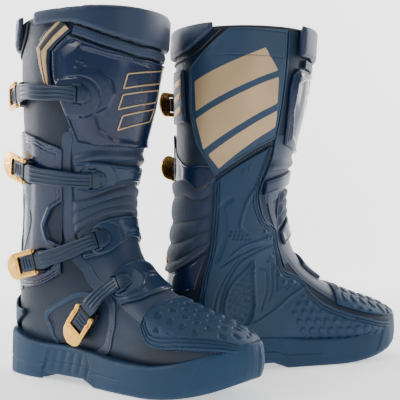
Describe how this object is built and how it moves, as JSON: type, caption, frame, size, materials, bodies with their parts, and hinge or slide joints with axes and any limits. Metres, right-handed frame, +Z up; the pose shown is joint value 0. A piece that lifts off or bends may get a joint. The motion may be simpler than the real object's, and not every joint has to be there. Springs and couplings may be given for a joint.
{
  "type": "motocross riding boots",
  "caption": "Tall motocross riding boots: leather shells with moulded guards, padded collars and cup soles; the buckle levers, straps and shin flaps swing open.",
  "frame": {"origin": "on the floor, under the middle of the pair's bounding box", "axes": "+X from the right boot towards the left boot's toe, +Y from the right boot's toe side towards the back, +Z up"},
  "size_m": [0.4782, 0.3334, 0.4059],
  "materials": {
    "sole_rubber": "matte moulded",
    "boot_leather": "smooth microfibre leather",
    "collar_padding": "soft padded",
    "flex_fabric": "ribbed stretch",
    "matte_guard": "matte moulded",
    "gloss_plate": "gloss moulded",
    "strap_plate": "satin moulded",
    "strap_tpu": "satin ribbed",
    "gold_alloy": "gold anodised",
    "buckle_black": "satin",
    "board": "pressed fibre",
    "foam": "knitted top"
  },
  "bodies": {
    "boots": {"right_outsole": "sole_rubber", "right_insole_board": "board", "right_footbed": "foam", "right_vamp_shell": "boot_leather", "right_shaft_shell": "boot_leather", "right_heel_counter": "matte_guard", "right_medial_guard": "matte_guard", "right_medial_top_panel": "matte_guard", "right_rear_collar": "collar_padding", "right_bellows": "flex_fabric", "right_calf_plate": "gloss_plate", "right_toe_guard": "matte_guard", "right_pull_tab": "flex_fabric", "right_strap_plate_2": "strap_plate", "right_strap_plate_3": "strap_plate", "right_strap_plate_4": "strap_plate", "right_buckle_base_1": "buckle_black", "right_buckle_base_2": "buckle_black", "right_buckle_base_3": "buckle_black", "right_buckle_base_4": "buckle_black", "left_outsole": "sole_rubber", "left_insole_board": "board", "left_footbed": "foam", "left_vamp_shell": "boot_leather", "left_shaft_shell": "boot_leather", "left_heel_counter": "matte_guard", "left_medial_guard": "matte_guard", "left_medial_top_panel": "matte_guard", "left_rear_collar": "collar_padding", "left_bellows": "flex_fabric", "left_calf_plate": "gloss_plate", "left_toe_guard": "matte_guard", "left_pull_tab": "flex_fabric", "left_strap_plate_2": "strap_plate", "left_strap_plate_3": "strap_plate", "left_strap_plate_4": "strap_plate", "left_buckle_base_1": "buckle_black", "left_buckle_base_2": "buckle_black", "left_buckle_base_3": "buckle_black", "left_buckle_base_4": "buckle_black"},
    "right_shin_flap": {"right_shin_plate": "gloss_plate", "right_front_collar": "collar_padding"},
    "right_strap_1": {"right_strap_1": "strap_tpu"},
    "right_lever_1": {"right_lever_1": "gold_alloy"},
    "right_strap_2": {"right_strap_2": "strap_tpu"},
    "right_lever_2": {"right_lever_2": "gold_alloy"},
    "right_strap_3": {"right_strap_3": "strap_tpu"},
    "right_lever_3": {"right_lever_3": "gold_alloy"},
    "right_strap_4": {"right_strap_4": "strap_tpu"},
    "right_lever_4": {"right_lever_4": "gold_alloy"},
    "left_shin_flap": {"left_shin_plate": "gloss_plate", "left_front_collar": "collar_padding"},
    "left_strap_1": {"left_strap_1": "strap_tpu"},
    "left_lever_1": {"left_lever_1": "gold_alloy"},
    "left_strap_2": {"left_strap_2": "strap_tpu"},
    "left_lever_2": {"left_lever_2": "gold_alloy"},
    "left_strap_3": {"left_strap_3": "strap_tpu"},
    "left_lever_3": {"left_lever_3": "gold_alloy"},
    "left_strap_4": {"left_strap_4": "strap_tpu"},
    "left_lever_4": {"left_lever_4": "gold_alloy"}
  },
  "joints": [
    {"name": "right_shin_flap_open", "type": "hinge", "parent": "boots", "child": "right_shin_flap", "pos_m": [-0.09281, 0.0115, 0.26346], "axis": [0.143, 0.0301, 0.9893], "range_deg": [0, 20]},
    {"name": "right_strap_1_open", "type": "hinge", "parent": "right_shin_flap", "child": "right_strap_1", "pos_m": [-0.14397, -0.09915, 0.31023], "axis": [0.0663, -0.1565, 0.9854], "range_deg": [0, 70]},
    {"name": "right_lever_1_open", "type": "hinge", "parent": "right_strap_1", "child": "right_lever_1", "pos_m": [-0.21826, -0.04291, 0.31686], "axis": [-0.0561, 0.0036, 0.9984], "range_deg": [0, 110]},
    {"name": "right_strap_2_open", "type": "hinge", "parent": "boots", "child": "right_strap_2", "pos_m": [-0.12974, -0.08135, 0.22073], "axis": [0.0056, -0.2156, 0.9765], "range_deg": [0, 70]},
    {"name": "right_lever_2_open", "type": "hinge", "parent": "right_strap_2", "child": "right_lever_2", "pos_m": [-0.20878, -0.04999, 0.2312], "axis": [0.1077, -0.295, 0.9494], "range_deg": [0, 110]},
    {"name": "right_strap_3_open", "type": "hinge", "parent": "boots", "child": "right_strap_3", "pos_m": [-0.12556, -0.0753, 0.15701], "axis": [-0.2984, 0.1457, 0.9432], "range_deg": [0, 70]},
    {"name": "right_lever_3_open", "type": "hinge", "parent": "right_strap_3", "child": "right_lever_3", "pos_m": [-0.19741, -0.04863, 0.13185], "axis": [-0.2288, 0.074, 0.9706], "range_deg": [0, 110]},
    {"name": "right_strap_4_open", "type": "hinge", "parent": "boots", "child": "right_strap_4", "pos_m": [-0.10196, -0.09373, 0.11292], "axis": [-0.4048, 0.5481, 0.7319], "range_deg": [0, 70]},
    {"name": "right_lever_4_open", "type": "hinge", "parent": "right_strap_4", "child": "right_lever_4", "pos_m": [-0.13653, -0.08366, 0.08011], "axis": [-0.6289, 0.4904, 0.6034], "range_deg": [0, 110]},
    {"name": "left_shin_flap_open", "type": "hinge", "parent": "boots", "child": "left_shin_flap", "pos_m": [0.07604, 0.0022, 0.26346], "axis": [-0.1375, 0.0497, -0.9893], "range_deg": [0, 20]},
    {"name": "left_strap_1_open", "type": "hinge", "parent": "left_shin_flap", "child": "left_strap_1", "pos_m": [0.04078, 0.11889, 0.31023], "axis": [-0.0875, -0.1458, -0.9854], "range_deg": [0, 70]},
    {"name": "left_lever_1_open", "type": "hinge", "parent": "left_strap_1", "child": "left_lever_1", "pos_m": [-0.04061, 0.07354, 0.31686], "axis": [0.0561, -0.0042, -0.9984], "range_deg": [0, 110]},
    {"name": "left_strap_2_open", "type": "hinge", "parent": "boots", "child": "left_strap_2", "pos_m": [0.05239, 0.09929, 0.22073], "axis": [-0.0355, -0.2127, -0.9765], "range_deg": [0, 70]},
    {"name": "left_lever_2_open", "type": "hinge", "parent": "left_strap_2", "child": "left_lever_2", "pos_m": [-0.03024, 0.07924, 0.2312], "axis": [-0.1477, -0.2771, -0.9494], "range_deg": [0, 110]},
    {"name": "left_strap_3_open", "type": "hinge", "parent": "boots", "child": "left_strap_3", "pos_m": [0.05569, 0.09271, 0.15701], "axis": [0.3158, 0.1028, -0.9432], "range_deg": [0, 70]},
    {"name": "left_lever_3_open", "type": "hinge", "parent": "left_strap_3", "child": "left_lever_3", "pos_m": [-0.01917, 0.07631, 0.13185], "axis": [0.2369, 0.0415, -0.9706], "range_deg": [0, 110]},
    {"name": "left_strap_4_open", "type": "hinge", "parent": "boots", "child": "left_strap_4", "pos_m": [0.08162, 0.10768, 0.11292], "axis": [0.4772, 0.4865, -0.7319], "range_deg": [0, 70]},
    {"name": "left_lever_4_open", "type": "hinge", "parent": "left_strap_4", "child": "left_lever_4", "pos_m": [0.04599, 0.10253, 0.08011], "axis": [0.691, 0.3981, -0.6034], "range_deg": [0, 110]}
  ],
  "couplings": [
    {"joint": "right_strap_1_open", "follows": "right_shin_flap_open", "ratio": 3.5},
    {"joint": "left_strap_1_open", "follows": "left_shin_flap_open", "ratio": 3.5}
  ]
}
